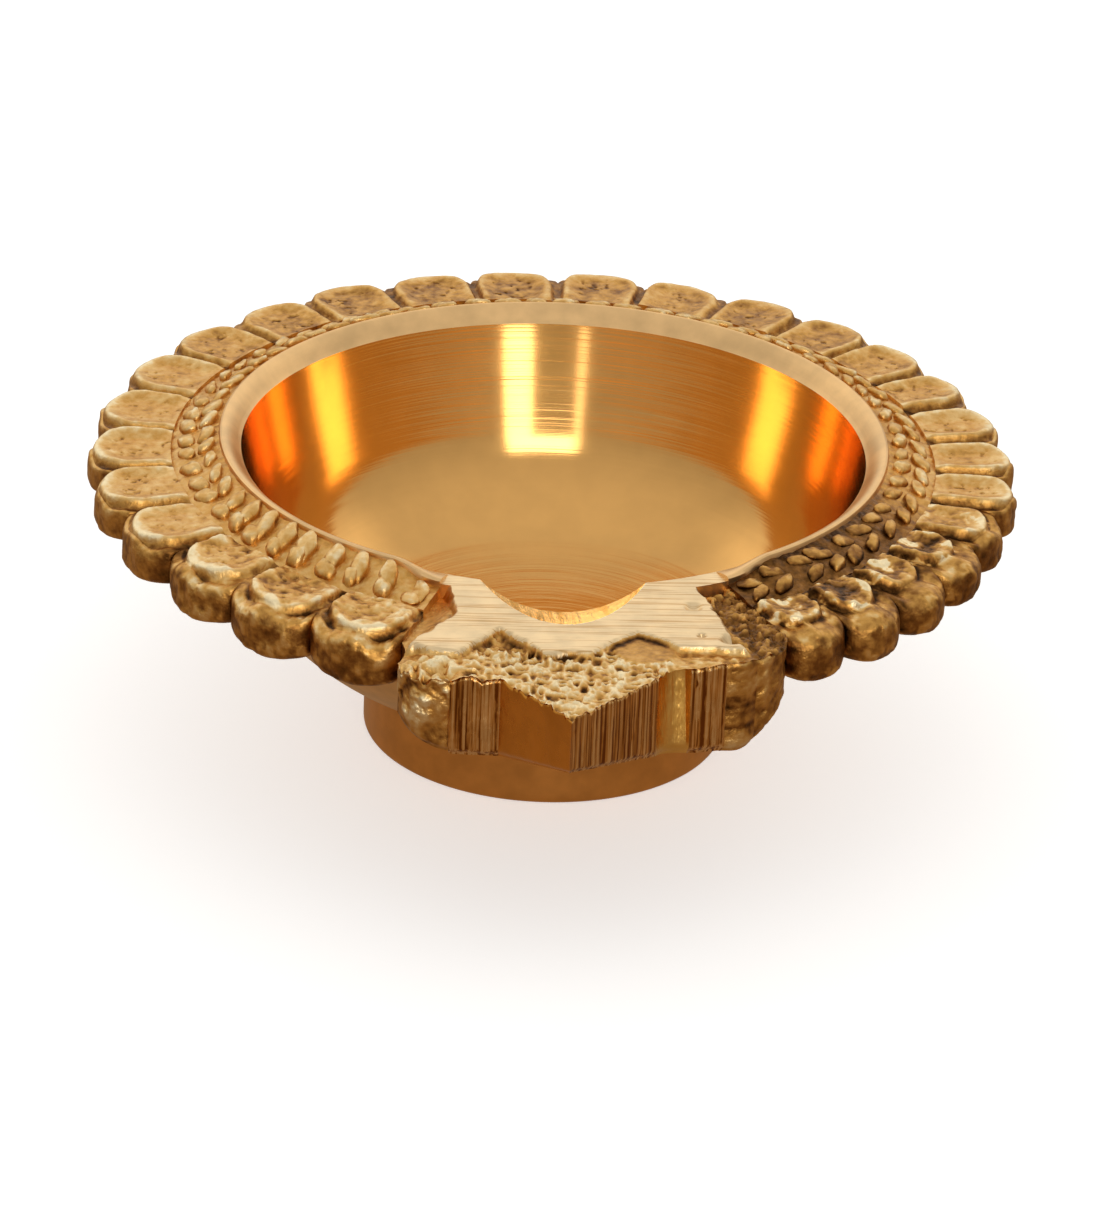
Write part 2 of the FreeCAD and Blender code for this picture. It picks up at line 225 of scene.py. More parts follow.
def turned(azimuths, sections):
    """Points and faces of (radius, height) runs from axis to axis, swept over the whole turn."""
    azimuths = np.asarray(azimuths)
    points = polar(azimuths[:, None], sections[:, 1:-1, 0], sections[:, 1:-1, 1])
    rows, columns = points.shape[:2]
    faces = strip_faces(rows, columns, loop_rows=True)
    low, high = rows * columns, rows * columns + 1
    for row in range(rows):
        following = (row + 1) % rows
        faces.append([low, row * columns, following * columns])
        faces.append([high, following * columns + columns - 1, row * columns + columns - 1])
    poles = [[0, 0, sections[0, 0, 1]], [0, 0, sections[0, -1, 1]]]
    return np.vstack([points.reshape(-1, 3), poles]), faces


def spread(start, end, count):
    """Evenly spaced values without the last one."""
    return np.linspace(start, end, count, endpoint=False)


# ================================================================== materials
def new_material(name):
    """An empty node material; returns it with a function that adds nodes and one that links them."""
    material = bpy.data.materials.new(name)
    material.use_nodes = True
    tree = material.node_tree
    tree.nodes.clear()

    def add(kind, **settings):
        """A node with sockets or properties set by name."""
        node = tree.nodes.new(kind)
        for key, setting in settings.items():
            if key in node.inputs:
                node.inputs[key].default_value = setting
            else:
                setattr(node, key, setting)
        return node

    return material, add, tree.links.new


def ramp(add, link, source, stops):
    """A colour ramp; each stop is (place, colour or grey)."""
    node = add("ShaderNodeValToRGB")
    link(source, node.inputs["Fac"])
    elements = node.color_ramp.elements
    while len(elements) < len(stops):
        elements.new(0.5)
    for element, (place, colour) in zip(elements, stops):
        element.position = place
        element.color = (*colour, 1) if isinstance(colour, tuple) else (colour, colour, colour, 1)
    return node.outputs["Color"]


def stretched(add, link, scale, turn_about_axis=False):
    """Object coordinates in millimetres, stretched; round the axis if asked: (turn, radius, height)."""
    place = add("ShaderNodeTexCoord").outputs["Object"]
    if turn_about_axis:
        parts = add("ShaderNodeSeparateXYZ")
        link(place, parts.inputs[0])
        angle = add("ShaderNodeMath", operation="ARCTAN2")
        link(parts.outputs["Y"], angle.inputs[0])
        link(parts.outputs["X"], angle.inputs[1])
        flat = add("ShaderNodeVectorMath", operation="MULTIPLY")
        flat.inputs[1].default_value = (1, 1, 0)
        link(place, flat.inputs[0])
        radius = add("ShaderNodeVectorMath", operation="LENGTH")
        link(flat.outputs[0], radius.inputs[0])
        joined = add("ShaderNodeCombineXYZ")
        turn = add("ShaderNodeMath", operation="MULTIPLY")
        turn.inputs[1].default_value = mouth_radius * MM
        link(angle.outputs[0], turn.inputs[0])
        link(turn.outputs[0], joined.inputs["X"])
        link(radius.outputs["Value"], joined.inputs["Y"])
        link(parts.outputs["Z"], joined.inputs["Z"])
        place = joined.outputs[0]
    mapping = add("ShaderNodeMapping")
    mapping.inputs["Scale"].default_value = [factor / MM for factor in scale]
    link(place, mapping.inputs["Vector"])
    return mapping.outputs[0]


def brass(name, colour, roughness, bumps, toned=False, streaks=None, mottle=0.16):
    """Brass with layered bumps: each is (scale, detail, strength in mm, round the axis).

    Toned brass takes its colour from each point's tone, dark in the hollows and pale on the rubbed
    parts, and darker with painted shade on the rim right of the spout and on the back petals.
    Streaks are (scale, round the axis, colour ramp stops) and multiply the colour.
    """
    material, add, link = new_material(name)
    out = add("ShaderNodeOutputMaterial")
    shader = add("ShaderNodeBsdfPrincipled", Metallic=1.0)
    link(shader.outputs[0], out.inputs["Surface"])
    normal = None
    for scale, detail, strength, around in bumps:
        texture = add("ShaderNodeTexNoise", Scale=1.0, Detail=detail, Roughness=0.6)
        link(stretched(add, link, scale, around), texture.inputs["Vector"])
        bump = add("ShaderNodeBump", Strength=1.0, Distance=strength * MM)
        link(texture.outputs["Fac"], bump.inputs["Height"])
        if normal is not None:
            link(normal, bump.inputs["Normal"])
        normal = bump.outputs[0]
    link(normal, shader.inputs["Normal"])
    blotch = add("ShaderNodeTexNoise", Scale=1.0, Detail=4.0)
    link(stretched(add, link, (0.45, 0.45, 0.45)), blotch.inputs["Vector"])
    if toned:
        shade = add("ShaderNodeAttribute", attribute_name="tone").outputs["Fac"]
        grit = add("ShaderNodeTexNoise", Scale=1.0, Detail=3.0)
        link(stretched(add, link, (1.6, 1.6, 1.6)), grit.inputs["Vector"])
        spread_grit = add("ShaderNodeMapRange")
        spread_grit.inputs["To Min"].default_value = -0.28
        spread_grit.inputs["To Max"].default_value = 0.28
        link(grit.outputs["Fac"], spread_grit.inputs["Value"])
        total = add("ShaderNodeMath", operation="ADD", use_clamp=True)
        link(shade, total.inputs[0])
        link(spread_grit.outputs[0], total.inputs[1])
        paint = ramp(add, link, total.outputs[0], CAST_SHADES)
    else:
        dark = tuple(channel * (1 - mottle) for channel in colour)
        paint = ramp(add, link, blotch.outputs["Fac"], [(0.35, dark), (0.65, colour)])
    if streaks is not None:
        scale, around, stops = streaks
        lines = add("ShaderNodeTexNoise", Scale=1.0, Detail=3.0)
        link(stretched(add, link, scale, around), lines.inputs["Vector"])
        mix = add("ShaderNodeMix", data_type="RGBA", blend_type="MULTIPLY")
        mix.inputs["Factor"].default_value = 1.0
        link(paint, mix.inputs["A"])
        link(ramp(add, link, lines.outputs["Fac"], stops), mix.inputs["B"])
        paint = mix.outputs["Result"]
    link(paint, shader.inputs["Base Color"])
    low, high = roughness
    gloss = add("ShaderNodeMapRange")
    gloss.inputs["To Min"].default_value = low
    gloss.inputs["To Max"].default_value = high
    link(blotch.outputs["Fac"], gloss.inputs["Value"])
    link(gloss.outputs[0], shader.inputs["Roughness"])
    return material


GOLD = (0.84, 0.455, 0.14)
TAN = (0.92, 0.59, 0.27)
PALE = (0.98, 0.74, 0.43)
SHADED_AMBER = (0.86, 0.42, 0.12)
RUST = (0.80, 0.33, 0.05)
CAST_SHADES = [
    (0.0, (0.05, 0.02, 0.005)),
    (0.25, (0.30, 0.13, 0.03)),
    (0.5, (0.68, 0.36, 0.09)),
    (0.75, (0.84, 0.55, 0.22)),
    (1.0, (1.0, 0.83, 0.52)),
]

FILE_MARKS = [
    (0.38, (0.25, 0.12, 0.04)),
    (0.5, (0.75, 0.55, 0.3)),
    (0.6, (1.0, 1.0, 1.0)),
]

polished = brass(
    "turned_polished",
    GOLD,
    (0.11, 0.14),
    [((0.02, 6.0, 6.0), 2.0, 0.007, True), ((0.05, 1.2, 1.2), 1.0, 0.012, True)],
    mottle=0.05,
)
satin = brass("turned_satin", TAN, (0.3, 0.4), [((0.05, 6.0, 6.0), 3.0, 0.01, True)])
# The foot's satin is redder and darker than the bevel's, as painted shade under the rim.
foot_satin = brass("turned_foot", SHADED_AMBER, (0.26, 0.36), [((0.05, 3.0, 3.0), 3.0, 0.015, True)])
cast = brass(
    "sand_cast",
    GOLD,
    (0.3, 0.46),
    [((1.5, 1.5, 1.5), 4.0, 0.10, False), ((5.0, 5.0, 5.0), 3.0, 0.03, False)],
    toned=True,
)
smooth_cast = brass("smooth_cast", RUST, (0.22, 0.32), [((0.8, 0.8, 0.5), 3.0, 0.06, False)])
filed = brass(
    "filed",
    PALE,
    (0.3, 0.42),
    [((0.1, 6.0, 1.0), 3.0, 0.03, False)],
    streaks=((0.12, 6.0, 1.0), False, [(0.34, (0.72, 0.58, 0.42)), (0.48, (1.0, 1.0, 1.0))]),
)
filed_down = brass(
    "filed_down",
    TAN,
    (0.22, 0.34),
    [((4.0, 4.0, 0.08), 3.0, 0.07, False)],
    streaks=((4.2, 4.2, 0.08), False, FILE_MARKS),
)
flute_gold = brass("flute_gold", (0.95, 0.58, 0.16), (0.2, 0.3), [((2.5, 2.5, 0.2), 3.0, 0.1, False)])
scooped = brass(
    "scooped",
    (1.0, 0.90, 0.62),
    (0.2, 0.3),
    [((2.2, 0.15, 0.15), 3.0, 0.08, False)],
    streaks=((1.8, 0.1, 0.1), False, [(0.36, (0.8, 0.66, 0.4)), (0.5, (1.0, 1.0, 1.0))]),
)


# ================================================================== bowl and foot
def arc_down(start, turn, slope_from, slope_to, count):
    """Points of an arc of the bowl's inside, from a start downward; slopes are from the horizontal."""
    slopes = np.radians(np.linspace(slope_from, slope_to, count))
    radius = start[0] - turn * (math.sin(slopes[0]) - np.sin(slopes))
    height = start[1] - turn * (np.cos(slopes) - math.cos(slopes[0]))
    return np.stack([radius, height], axis=1)


def bowl_inside():
    """The inside's half section from the mouth's edge down to the axis."""
    wall = arc_down((mouth_radius, mouth_height), WALL_TURN, WALL_TOP, WALL_FOOT, 90)
    knee = arc_down(wall[-1], KNEE_TURN, WALL_FOOT, KNEE_FOOT, 50)
    floor_turn = knee[-1][0] / math.sin(math.radians(KNEE_FOOT))
    floor = arc_down(knee[-1], floor_turn, KNEE_FOOT, 0, 40)
    return np.vstack([wall, knee[1:], floor[1:]])


def bowl_outside(count):
    """The outside's half section from the foot up to the rim's root."""
    start, end = np.array([foot_radius, foot_height]), np.array([ring_inner, root_height])
    chord = end - start
    half = np.hypot(*chord) / 2
    away = np.array([-chord[1], chord[0]]) / (2 * half)
    centre = (start + end) / 2 + away * math.sqrt(BACK_TURN**2 - half**2)
    first, last = (math.atan2(*(place - centre)[::-1]) for place in (start, end))
    turn = np.linspace(first, last, count)
    return centre + BACK_TURN * np.stack([np.cos(turn), np.sin(turn)], axis=1)


def make_bowl():
    """The bowl with its wick groove, with more sections where the groove cuts its edge."""
    inside = bowl_inside()
    outside = bowl_outside(40)
    groove_from, groove_to = 244, 296
    azimuths = np.concatenate(
        [spread(groove_to - 360, groove_from, 230), spread(groove_from, groove_to, 200)]
    )
    deck_steps = np.linspace(1, 0, 14)
    sections = []
    for azimuth in azimuths:
        turn = math.radians(azimuth)
        across, along = math.cos(turn), math.sin(turn)
        scoop = groove_height(inside[:, 0] * across, inside[:, 0] * along)
        above = inside[:, 1] - scoop
        wall = inside
        if above[0] > 0:
            last = int(np.argmax(above <= 0))
            share = above[last - 1] / (above[last - 1] - above[last])
            steps = np.linspace(last - 1 + share, len(inside) - 1, len(inside))
            wall = np.stack([np.interp(steps, np.arange(len(inside)), inside[:, k]) for k in (0, 1)], axis=1)
        radius = wall[0, 0] + (ring_inner - wall[0, 0]) * deck_steps
        height = np.minimum(mouth_height, groove_height(radius * across, radius * along))
        if above[0] > 0:
            height[-1] = wall[0, 1]
        deck = np.stack([radius, height], axis=1)
        sections.append(np.vstack([[(0, foot_height)], outside, deck[:-1], wall]))
    sections = np.array(sections)
    shape = turned(azimuths, sections)
    heights = sections[:, 1:-1, 1]
    low_side = np.minimum(heights[:, :-1], heights[:, 1:])
    column = np.arange(low_side.shape[1])
    on_back = column < len(outside)
    on_deck = ~on_back & (column < len(outside) + len(deck_steps) - 1)
    materials = [polished, satin, filed, scooped]
    wall_kind, back_kind, deck_kind, groove_kind = range(len(materials))
    deck_or_groove = np.where(low_side < mouth_height - 0.03, groove_kind, deck_kind)
    kind = np.where(on_back, back_kind, np.where(on_deck, deck_or_groove, wall_kind))
    index = np.zeros(len(shape[1]), int)
    index[: kind.size] = kind.ravel()
    make_piece("bowl_shell", "bowl", shape, materials, index.tolist())


def make_foot():
    """The plain foot, with a rounded edge at its flat underside."""
    edge = 0.6
    azimuths = spread(0, 360, 240)
    turn = np.radians(np.linspace(-90, 0, 7))
    rounded = np.stack(
        [foot_radius - edge + edge * np.cos(turn), edge + edge * np.sin(turn)], axis=1
    )
    under = np.stack([np.linspace(0, foot_radius - edge, 20, endpoint=False), np.zeros(20)], axis=1)
    side = np.stack([np.full(12, foot_radius), np.linspace(2 * edge, foot_height, 12)], axis=1)
    top = np.array([[0, foot_height]])
    run = np.vstack([under, rounded, side, top])
    sections = np.repeat(run[None], len(azimuths), axis=0)
    make_piece("turned_foot", "foot", turned(azimuths, sections), [foot_satin])


# ================================================================== lip, band and beads
def ring_azimuths(step=0.5):
    """Azimuths from one side of the spout round the back to the other."""
    return np.linspace(PETAL_START, PETAL_END, int((PETAL_END - PETAL_START) / step) + 1)


END_RUN = 9.0


def end_fade(azimuth, length):
    """0 at both ends of the ring and 1 away from them."""
    return smooth(0, length, azimuth - PETAL_START) * smooth(0, length, PETAL_END - azimuth)


def make_lip():
    """The turned bevel from the mouth's edge up to the ridge, lower toward the spout."""
    azimuths = ring_azimuths()
    rise = (ridge_height - mouth_height) * (0.25 + 0.75 * end_fade(azimuths, END_RUN))
    bevel = np.linspace(0, 1, 12)
    sections = []
    for lift in rise:
        radius = mouth_radius + (LIP_WIDTH - 0.25) * bevel
        height = mouth_height + lift * np.sin(bevel * math.pi / 2) ** 1.15
        outer = [
            (ring_inner - 0.1, mouth_height + lift * 0.93),
            (ring_inner + 0.05, mouth_height + lift * 0.6),
            (ring_inner + 0.05, mouth_height),
            (ring_inner + 0.05, band_height - 0.2),
            (ring_inner - 0.4, band_height - 0.2),
            (ring_inner - 0.4, mouth_height - 0.05),
            (mouth_radius + 0.3, mouth_height - 0.05),
        ]
        sections.append(np.vstack([np.stack([radius, height], axis=1), outer]))
    make_piece("mouth_bevel", "mouth_lip", swept(azimuths, np.array(sections)), [satin])


def band_surface(azimuth, radius):
    """Height of the bead band: it falls away from the lip, and sinks toward the spout."""
    rise = BAND_RISE * (0.2 + 0.8 * end_fade(azimuth, END_RUN))
    return band_height + rise * (ring_outer - radius) / (ring_outer - ring_inner)


def shaded_right_side(azimuth):
    """1 to the right of the spout, where the rim is given painted shade, and 0 beyond it."""
    return 1 - smooth(-32, -8, np.where(azimuth > 270, azimuth - 360, azimuth))


def band_tone(azimuth, radius):
    """Shade of the bead band's ground: tan, with painted shade in brown to the right of the spout, and a
    little darker next to the lip.
    """
    return 0.58 - 0.42 * shaded_right_side(azimuth) - 0.12 * bump_at(radius, ring_inner + 0.1, 0.5)


def make_band():
    """The cast web that carries the beads, with a slightly rough top."""
    azimuths = ring_azimuths(0.3)
    across = np.linspace(ring_outer, ring_inner - 0.1, 22)
    radius = np.tile(across, (len(azimuths), 1))
    height = band_surface(azimuths[:, None], radius)
    height += 0.08 * rough(polar(azimuths[:, None], radius, height), 0.8, 11) - 0.08
    lower = np.array([(ring_inner - 0.1, root_height), (ring_outer, root_height + 0.4)])
    lower = np.tile(lower, (len(azimuths), 1, 1))
    sections = np.concatenate([np.stack([radius, height], axis=-1), lower], axis=1)
    tone = band_tone(azimuths[:, None], sections[..., 0])
    tone[:, len(across) :] = 0.5
    make_piece("bead_band", "rim_flange", swept(azimuths, sections), [cast], tone=tone)


BEAD_SINK = 0.08


def squared(wave):
    """A sine wave pushed toward its ends, which makes a round outline boxier."""
    return np.sign(wave) * np.abs(wave) ** 0.75


def make_beads(name, node, offset, slant, inner):
    """A row of sixty small lumps, each a little different.

    To the left of the spout the inner ones grow into radial teeth; to its right they are rubbed low and
    darkened with painted shade.
    """
    step = (PETAL_END - PETAL_START) / BEADS
    rng = np.random.default_rng(SEED + int(offset * 10))
    across = np.radians(np.linspace(-90, 90, 9)[1:-1])
    around = np.radians(spread(0, 360, 16))
    points, faces, tones = [], [], []
    for number in range(BEADS):
        azimuth = PETAL_START + step * (number + 0.5) + rng.normal(0, 0.35)
        size = 1 + rng.normal(0, 0.1, 3)
        toothed = smooth(196, 214, azimuth)
        worn_and_shaded = shaded_right_side(azimuth)
        end = smooth(PETAL_END - 8, PETAL_END - 3, azimuth)
        length = (2.0 - 0.2 * toothed) * size[0]
        width = (1.2 + (1.3 if inner else 0.1) * toothed) * size[1]
        lift = (0.5 + 0.25 * toothed) * (1 - 0.7 * end) * (1 - (0.5 if inner else 0.0) * worn_and_shaded) * size[2]
        place = ring_inner + offset + (0.35 * toothed if inner else 0.1 * toothed)
        lean = slant + 0.45 * toothed
        full = np.cos(across)[:, None] ** 0.45
        body_x = full * squared(np.sin(around)) * length / 2
        body_y = full * squared(np.cos(around)) * width / 2 + lean * body_x
        body_z = np.broadcast_to(np.sin(across)[:, None] * lift, body_x.shape)
        turn = math.radians(azimuth)
        first = len(points)
        base = np.array([-math.sin(turn), math.cos(turn), 0])
        out = np.array([math.cos(turn), math.sin(turn), 0])
        lump = out * (place + body_y)[..., None] + base * body_x[..., None]
        lump[..., 2] = band_surface(azimuth, place + body_y) + body_z - BEAD_SINK
        level = float(band_surface(azimuth, place))
        poles = [out * place + [0, 0, level - BEAD_SINK + side * lift] for side in (-1, 1)]
        points.extend([*lump.reshape(-1, 3), *poles])
        height = np.append(np.repeat(np.sin(across), len(around)), [-1, 1])
        # Painted shade darkens the beads to the right of the spout.
        tones.extend(0.45 + 0.3 * height - (0.5 - 0.15 * height) * worn_and_shaded)
        rows, columns = len(across), len(around)
        faces += strip_faces(rows, columns, loop_columns=True, first=first)
        low, high = first + rows * columns, first + rows * columns + 1
        for column in range(columns):
            following = (column + 1) % columns
            faces.append([low, first + column, first + following])
            faces.append([high, low - columns + following, low - columns + column])
    points = np.array(points)
    flake = rough(points, 0.7, 23)
    ceiling = ridge_height - 0.02 + 0.02 * flake
    points[:, 2] = np.minimum(points[:, 2] + 0.12 * flake, ceiling)
    points[:, 0] += 0.16 * rough(points, 0.9, 25)
    tones = np.array(tones) + 0.25 * flake
    make_piece(name, node, (points, faces), [cast], tone=tones, sharp=60)


# ================================================================== petals
CHANNEL_DROP = 0.85
TONGUE_RISE = 0.65
VALLEY = 35.4
channel_height = mouth_height - CHANNEL_DROP


def column_depth(azimuth):
    """Depth of a column below the channels: deepest beside the spout."""
    nearness = ((1 - np.sin(np.radians(azimuth))) / 2) ** 3
    return 2.7 + 1.9 * nearness


def make_petal(index, rng):
    """A column with a dished tongue on top; both are rougher near the spout. Painted shade darkens the back
    petals' tops and the petals right of the spout.
    """
    near, far = petal_edges[index], petal_edges[index + 1]
    middle_turn = (near + far) / 2
    side = np.linspace(-1, 1, 65)[:, None]
    azimuth = middle_turn + side * (far - near) / 2
    half_turn = math.radians(far - near) / 2
    leftness = smooth(100, 150, middle_turn)
    front_right = shaded_right_side(middle_turn)
    front_left = smooth(196, 226, middle_turn)
    burr = max(front_right, front_left)
    backness = smooth(0.2, 0.9, math.sin(math.radians(middle_turn)))
    share = 0.84 + 0.08 * max(leftness, backness) + rng.normal(0, 0.012)
    tilt = rng.normal(0, 0.1)
    skew = rng.normal(0, 0.07)
    reach = column_reach - 0.12 + rng.normal(0, 0.1) - 0.1 * burr
    open_side = np.maximum(1 - side**2, 0)
    outline = VALLEY + (reach - VALLEY) * open_side**0.7
    shoulder = 0.45 + 2.1 * front_right + 1.0 * front_left
    top_edge = outline - shoulder

    along = np.linspace(0, 1, 64)
    radius = ring_outer + (top_edge - ring_outer) * along
    lateral = (side - skew * (1 - side**2)) * radius * math.tan(half_turn)
    width = share * radius * math.tan(half_turn)
    arch = 0.95 * width
    end = reach - shoulder + 0.1
    beyond = np.maximum(radius - (end - arch), 0) * width / arch
    inside = width - np.hypot(lateral, beyond)
    tongue = smooth(-0.12, 0.3, inside)
    border = bump_at(inside, 0.45, 0.28)
    dish = smooth(0.5, 1.9, inside)
    start = smooth(ring_outer, ring_outer + 0.9, radius)
    rise = (TONGUE_RISE - 0.15 * backness) * (0.35 + 0.65 * start)
    height = channel_height + 0.15 * backness + 0.3 * (1 - start) + rise * tongue
    height += 0.08 * border * start - 0.3 * dish * start + tilt * lateral / width * tongue
    height -= 0.45 * smooth(end - 1.6, end, radius) * (1 - 0.3 * tongue)
    places = polar(azimuth, radius, height)
    flake = rough(places, 0.9, 31)
    lump = rough(places, 2.2, 35)
    height += (0.035 + 0.1 * burr) * flake + (0.03 + 0.15 * burr) * lump
    pit = smooth(0.6, 0.9, rough(places, 0.5, 38)) * dish
    height -= 0.08 * pit
    channel_shade = 0.16 + 0.05 * leftness + 0.22 * backness
    shade = channel_shade + (0.62 - channel_shade) * tongue + 0.2 * border - 0.05 * dish - 0.25 * pit
    # The back petals' tops are painted darker, as painted shade.
    shade += 0.18 * bump_at(radius, end - 0.7, 0.7) * tongue - 0.17 * backness
    # Painted shade darkens the petals right of the spout, less on the raised flakes.
    shade += (0.14 + 0.25 * burr) * flake - (0.3 - 0.5 * smooth(0.25, 0.6, flake)) * front_right

    angle = np.linspace(0, math.pi, 32)[1:]
    bottom = channel_height - column_depth(azimuth) + 0.7 * side**2
    square = 0.6
    out_share = np.where(angle < math.pi / 2, np.sin(angle) ** square, 1.0)
    taper = 0.9 * smooth(math.pi / 2, math.pi, angle) ** 2
    fall = (1 - np.sign(np.cos(angle)) * np.abs(np.cos(angle)) ** square) / 2
    edge_height = height[:, -1:]
    wall_radius = top_edge + shoulder * out_share - taper
    wall_height = edge_height + (bottom - edge_height) * fall
    places = polar(azimuth, wall_radius, wall_height)
    facet = rough(places, 2.0, 41)
    fine = rough(places, 0.8, 43)
    relief = 0.16 * facet + (0.03 + 0.08 * burr) * fine - 0.15
    wall_radius = wall_radius + relief * np.maximum(open_side, 0.05)
    wall_shade = 0.42 + 0.1 * facet + 0.14 * fine - 0.2 * smooth(0.6, 1.0, np.abs(side))
    wall_shade += 0.2 * burr * smooth(0.2, 0.6, fine) + 0.15 * (1 - smooth(0.0, 0.25, fall))
    # Painted shade darkens the column walls right of the spout; those left of it are a little darker too.
    wall_shade -= 0.13 * front_right + 0.05 * front_left

    inner_bottom = np.minimum(root_height + 0.4, bottom)
    under = np.linspace(0, 1, 10)[1:]
    under_radius = under * (ring_outer - wall_radius[:, -1:]) + wall_radius[:, -1:]
    under_height = under * (inner_bottom - bottom) + bottom
    radii = np.hstack([radius, wall_radius, under_radius])
    heights = np.hstack([height, wall_height, under_height])
    tone = np.hstack([shade, wall_shade, np.full(under_radius.shape, 0.4)])
    shape = swept(azimuth.ravel(), np.stack([radii, heights], axis=-1))
    name, node = f"petal_leaf_{index + 1:02d}", f"petal_{index + 1:02d}"
    make_piece(name, node, shape, [cast], tone=tone, sharp=70)


# ================================================================== wick spout
# The outline's sides in order, from the last petal round the nose to the first one: where each ends
# (x, reach toward -Y), how far it swells, what it is made of and how rough it is.
SPOUT_SIDES = [
    ("recess", (-13.0, 36.9), -0.45, 0.03),
    ("lump", (-9.0, 40.0), 1.0, 0.28),
    ("left_facet", (-5.2, 40.4), 0.1, 0.05),
    ("left_face", (0.0, nose_reach), 0.0, 0.02),
    ("right_face", (6.9, 39.6), 0.0, 0.03),
    ("flute", (9.4, 38.0), -0.6, 0.02),
    ("right_facet", (12.2, 36.8), 0.1, 0.05),
    ("column", (14.6, 35.4), 0.4, 0.04),
    ("cheek", None, 0.9, 0.16),
]
DECK_CORNERS = [
    (-9.3, 24.0),
    (-8.3, 29.8),
    (-12.2, 35.4),
    (-8.4, 36.6),
    (-5.1, 32.6),
    (-1.7, 36.5),
    (1.7, 36.2),
    (5.4, 32.5),
    (8.5, 34.9),
    (13.4, 35.2),
    (12.2, 31.4),
    (10.2, 24.0),
]


def polygon_depth(x, reach, corners):
    """How far inside a polygon each place is, negative outside it."""
    nearest = np.full(x.shape, np.inf)
    inside = np.zeros(x.shape, bool)
    for (ax, ay), (bx, by) in zip(corners, corners[1:] + corners[:1]):
        run_x, run_y = bx - ax, by - ay
        share = np.clip(((x - ax) * run_x + (reach - ay) * run_y) / (run_x**2 + run_y**2), 0, 1)
        nearest = np.minimum(nearest, np.hypot(x - ax - share * run_x, reach - ay - share * run_y))
        crosses = (ay > reach) != (by > reach)
        with np.errstate(divide="ignore", invalid="ignore"):
            inside ^= crosses & (x < ax + (reach - ay) * run_x / run_y)
    return np.where(inside, nearest, -nearest)


def spout_outline():
    """Azimuth, radius, side number and run along the side of points round the spout's outline."""
    first, last = PETAL_END, PETAL_START + 360
    start = (VALLEY * math.cos(math.radians(first)), -VALLEY * math.sin(math.radians(first)))
    finish = (VALLEY * math.cos(math.radians(last)), -VALLEY * math.sin(math.radians(last)))
    azimuth, radius, side, run = [], [], [], []
    for number, (_, corner, swell, _) in enumerate(SPOUT_SIDES):
        corner = corner or finish
        chord = np.subtract(corner, start)
        length = np.hypot(*chord)
        share = spread(0, 1, max(int(length / 0.11), 2))[:, None]
        outward = np.array([-chord[1], chord[0]]) / length
        places = start + share * chord + outward * swell * 4 * share * (1 - share)
        azimuth.extend(np.degrees(np.arctan2(-places[:, 1], places[:, 0])) % 360)
        radius.extend(np.hypot(*places.T))
        side.extend([number] * len(share))
        run.extend(share[:, 0] * length)
        start = corner
    azimuth.append(last)
    radius.append(VALLEY)
    side.append(len(SPOUT_SIDES) - 1)
    run.append(length)
    return np.maximum.accumulate(azimuth), np.array(radius), np.array(side), np.array(run)


def spout_top(azimuth, x, reach):
    """Height, shade and deck depth of the spout's top before the wick groove is cut."""
    place = np.stack([x, reach, 0 * x], axis=-1)
    fine = rough(place, 0.55, 53)
    crackle = 1 - 2.4 * np.abs(noise(place, 0.55, 54))
    depth = polygon_depth(x, reach, DECK_CORNERS) + 0.22 * rough(place, 1.5, 57)
    deck = smooth(-0.35, 0.2, depth)
    smooth_end = 1 - smooth(250.0, 254.0, azimuth)
    shaded_end = smooth(291.0, 293.0, azimuth)
    diamond = smooth(34.0, 36.0, reach) * (1 - smooth(7.2, 8.6, np.abs(x)))
    right_lobe = smooth(-0.15, 0.25, 1 - ((x - 6.0) / 2.5) ** 2 - ((reach - 35.0) / 2.5) ** 2)
    left_lobe = smooth(-0.15, 0.25, 1 - ((x + 4.6) / 2.2) ** 2 - ((reach - 35.2) / 2.4) ** 2)
    lump = smooth(36.0, 38.0, reach) * (1 - smooth(-9.2, -8.0, x))
    height = mouth_height - 0.55 - 0.15 * smooth(38, nose_reach, reach) + 0 * x
    height += diamond * (1 - right_lobe) * (0.11 * crackle + 0.12 * fine)
    height += 0.12 * left_lobe * fine - 0.2 * left_lobe + right_lobe * 0.15
    lump_fall = 0.5 * smooth(37, 40, reach)
    height += 0.08 * fine * (1 - right_lobe) + lump * (0.22 * fine + 0.15 * crackle - lump_fall)
    height -= 0.65 * smooth_end + 0.1 * fine * smooth_end
    height += shaded_end * (0.2 * fine - 0.35)
    scallop = bump_at(np.hypot(x + 0.1, reach - 36.7), 1.35, 0.2) * smooth(36.4, 37.0, reach)
    height += 0.2 * scallop
    shade = 0.55 + diamond * (0.05 + 0.42 * crackle) + 0.25 * fine + 0.35 * scallop
    shade += right_lobe * (0.46 - shade) + lump * (0.2 + 0.3 * crackle)
    shade -= 0.5 * bump_at(depth, -0.25, 0.3) * smooth(31.5, 33.0, reach) * (1 - smooth(7.0, 8.5, np.abs(x)))
    # The spout's right end gets painted shade, lighter on its raised flakes.
    shade += smooth_end * (0.52 - shade) + shaded_end * (0.15 + 0.3 * np.maximum(fine, 0) - shade)
    height += (mouth_height - height) * deck
    shade += (0.85 - shade) * deck
    for centre, size, drop in ((12.6, 33.6), 0.75, 1.1), ((9.9, 28.2), 0.6, 0.4), ((10.3, 33.2), 0.3, 0.5):
        hole = np.exp(-((np.hypot(x - centre[0], reach - centre[1]) / size) ** 4))
        height -= drop * hole
        shade -= 0.8 * hole * drop
    return height, shade, depth


